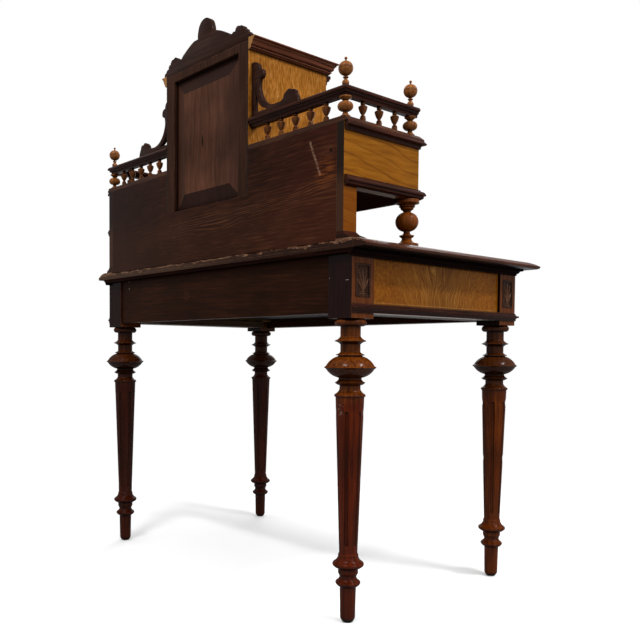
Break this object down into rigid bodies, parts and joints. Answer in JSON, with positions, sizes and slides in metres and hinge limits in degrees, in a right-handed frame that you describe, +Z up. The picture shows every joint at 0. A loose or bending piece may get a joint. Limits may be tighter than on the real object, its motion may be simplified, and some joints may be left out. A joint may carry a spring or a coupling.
{
  "type": "writing desk",
  "caption": "Lady's writing desk (bonheur du jour) with fluted turned legs, a wide drawer, and an upper part with a cupboard, wing drawers, ball columns and galleries.",
  "frame": {"origin": "on the floor, in the middle of the overall width and depth", "axes": "+X to the sitter's right, +Y to the back, +Z up"},
  "size_m": [1.03, 0.6337, 1.329],
  "materials": {
    "walnut_turned": "French-polished walnut, turned",
    "walnut_moulding": "French-polished walnut stained dark, moulded",
    "walnut_veneer": "French-polished walnut veneer",
    "walnut_carved": "French-polished walnut, sawn and carved",
    "softwood_stained": "stained softwood, hand planed",
    "drawer_lining": "plain oak, planed",
    "writing_leather": "tooled hide, waxed",
    "brass": "polished brass, lacquered",
    "lock_iron": "blackened iron"
  },
  "bodies": {
    "root": {"apron_back": "softwood_stained", "apron_left": "walnut_veneer", "apron_moulding": "walnut_moulding", "apron_right": "walnut_veneer", "back_board": "softwood_stained", "back_frame": "softwood_stained", "back_panel": "softwood_stained", "ball_column_left": "walnut_turned", "ball_column_right": "walnut_turned", "bed_moulding": "walnut_moulding", "cabinet_cornice": "walnut_moulding", "cabinet_floor": "walnut_veneer", "cabinet_shelf": "walnut_veneer", "cabinet_side_left": "walnut_veneer", "cabinet_side_right": "walnut_veneer", "cabinet_top": "walnut_veneer", "carved_insets": "walnut_carved", "crest": "walnut_carved", "drawer_runners": "softwood_stained", "front_rails": "walnut_moulding", "gallery_posts": "walnut_turned", "gallery_rail_left": "walnut_moulding", "gallery_rail_right": "walnut_moulding", "gallery_spindles": "walnut_turned", "head_rail": "walnut_moulding", "hinge_pin_halves": "brass", "leg_back_left": "walnut_turned", "leg_back_right": "walnut_turned", "leg_front_left": "walnut_turned", "leg_front_right": "walnut_turned", "pilaster_plinths": "walnut_moulding", "scroll_bracket_left": "walnut_carved", "scroll_bracket_right": "walnut_carved", "table_top": "walnut_veneer", "top_edge_moulding": "walnut_moulding", "upper_side_left": "walnut_veneer", "upper_side_right": "walnut_veneer", "wing_base_mouldings": "walnut_moulding", "wing_cornices": "walnut_moulding", "wing_floors": "walnut_veneer", "wing_rails": "walnut_moulding", "wing_tops": "walnut_veneer", "writing_leather": "writing_leather"},
    "desk_drawer": {"drawer_front": "walnut_veneer", "drawer_sides": "drawer_lining", "drawer_back": "drawer_lining", "drawer_bottom": "drawer_lining", "drawer_knobs": "walnut_turned"},
    "wing_drawer_left": {"wing_drawer_left_front": "walnut_veneer", "wing_drawer_left_box": "drawer_lining", "wing_drawer_left_knob": "walnut_turned"},
    "wing_drawer_right": {"wing_drawer_right_front": "walnut_veneer", "wing_drawer_right_box": "drawer_lining", "wing_drawer_right_knob": "walnut_turned"},
    "cabinet_door": {"door_frame": "walnut_veneer", "door_panel": "walnut_veneer", "hinge_door_halves": "brass", "door_lock": "lock_iron"},
    "door_key": {"door_key": "brass"}
  },
  "joints": [
    {"name": "desk_drawer_slide", "type": "slide", "parent": "root", "child": "desk_drawer", "axis": [0, -1, 0], "range_m": [0, 0.3]},
    {"name": "wing_drawer_left_slide", "type": "slide", "parent": "root", "child": "wing_drawer_left", "axis": [0, -1, 0], "range_m": [0, 0.13]},
    {"name": "wing_drawer_right_slide", "type": "slide", "parent": "root", "child": "wing_drawer_right", "axis": [0, -1, 0], "range_m": [0, 0.13]},
    {"name": "cabinet_door_hinge", "type": "hinge", "parent": "root", "child": "cabinet_door", "pos_m": [-0.146, 0.05965, 0.9845], "axis": [0, 0, -1], "range_deg": [0, 95]},
    {"name": "door_key_turn", "type": "hinge", "parent": "cabinet_door", "child": "door_key", "pos_m": [0.1255, 0.06315, 0.9845], "axis": [0, -1, 0], "range_deg": [0, 180]}
  ]
}
